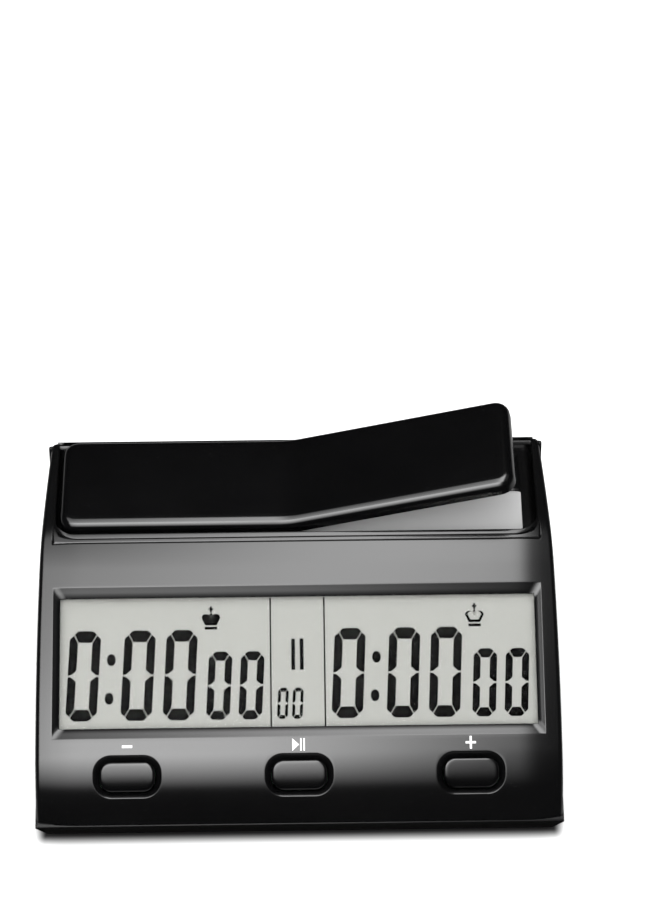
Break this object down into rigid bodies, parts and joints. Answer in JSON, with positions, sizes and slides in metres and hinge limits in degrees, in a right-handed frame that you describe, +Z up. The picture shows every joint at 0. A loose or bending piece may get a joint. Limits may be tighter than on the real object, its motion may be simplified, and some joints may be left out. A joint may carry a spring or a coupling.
{
  "type": "chess clock",
  "caption": "Digital chess clock with a sloping display, three keys and a tilting rocker bar on top, in two case halves with boards, cell and buzzer inside.",
  "frame": {"origin": "middle of the footprint on the table, under the rubber feet", "axes": "+X to the right along the width, +Y to the back, +Z up; the sloping face looks towards -Y and +Z"},
  "size_m": [0.1664, 0.119, 0.0767],
  "materials": {
    "case_black": "satin to gloss moulded black plastic",
    "base_black": "fine textured moulded black plastic",
    "rocker_black": "glossy moulded black plastic",
    "key_black": "satin moulded black plastic",
    "switch_plastic": "moulded dark plastic",
    "steel": "plated steel",
    "rubber": "black rubber",
    "clear_window": "clear acrylic window",
    "lcd_glass": "reflective liquid crystal panel, grey green",
    "holder_plastic": "white moulded plastic",
    "board_green": "green solder resist",
    "epoxy_black": "black epoxy",
    "capacitor_sleeve": "blue shrink sleeve",
    "buzzer_brass": "brass disc with ceramic",
    "cell_wrap": null,
    "wire_red": "red insulation",
    "wire_black": "black insulation",
    "wire_blue": "blue insulation",
    "wire_grey": "grey insulation"
  },
  "bodies": {
    "case": {"upper_case": "case_black", "base_shell": "base_black", "rocker_pivot_pin": "steel", "rocker_stops": "rubber", "window_lens": "clear_window", "lcd_panel": "lcd_glass", "lcd_holder": "holder_plastic", "zebra_strips": "rubber", "main_board": "board_green", "main_board_screws": "steel", "controller_blob": "epoxy_black", "quartz_crystal": "steel", "board_capacitors": "capacitor_sleeve", "board_resistors": "epoxy_black", "key_switches": "switch_plastic", "rocker_board": "board_green", "rocker_switches": "switch_plastic", "rocker_board_screws": "steel", "buzzer": "buzzer_brass", "buzzer_strip": "steel", "buzzer_screws": "steel", "battery_cell": "cell_wrap", "contact_plate": "steel", "contact_spring": "steel", "power_switch_body": "steel", "power_switch_screws": "steel", "case_screws": "steel", "rubber_feet": "rubber", "battery_wire_red": "wire_red", "battery_wire_black": "wire_black", "buzzer_wires": "wire_blue", "rocker_wires": "wire_grey", "switch_wires": "wire_red"},
    "rocker": {"rocker_lever": "rocker_black"},
    "minus_key": {"key_minus": "key_black"},
    "play_key": {"key_play": "key_black"},
    "plus_key": {"key_plus": "key_black"},
    "door": {"battery_door": "base_black"},
    "switch_knob": {"power_switch_knob": "switch_plastic"}
  },
  "joints": [
    {"name": "rocker_tilt", "type": "hinge", "parent": "case", "child": "rocker", "pos_m": [0, 0.03856, 0.03883], "axis": [0, 1, 0], "range_deg": [0, 14.3]},
    {"name": "minus_key_press", "type": "slide", "parent": "case", "child": "minus_key", "axis": [0, 0.454, -0.891], "range_m": [0, 0.0008], "stiffness_N_per_m": 1500},
    {"name": "play_key_press", "type": "slide", "parent": "case", "child": "play_key", "axis": [0, 0.454, -0.891], "range_m": [0, 0.0008], "stiffness_N_per_m": 1500},
    {"name": "plus_key_press", "type": "slide", "parent": "case", "child": "plus_key", "axis": [0, 0.454, -0.891], "range_m": [0, 0.0008], "stiffness_N_per_m": 1500},
    {"name": "door_slide", "type": "slide", "parent": "case", "child": "door", "axis": [1, 0, 0], "range_m": [0, 0.006]},
    {"name": "switch_slide", "type": "slide", "parent": "case", "child": "switch_knob", "axis": [1, 0, 0], "range_m": [0, 0.003]}
  ]
}
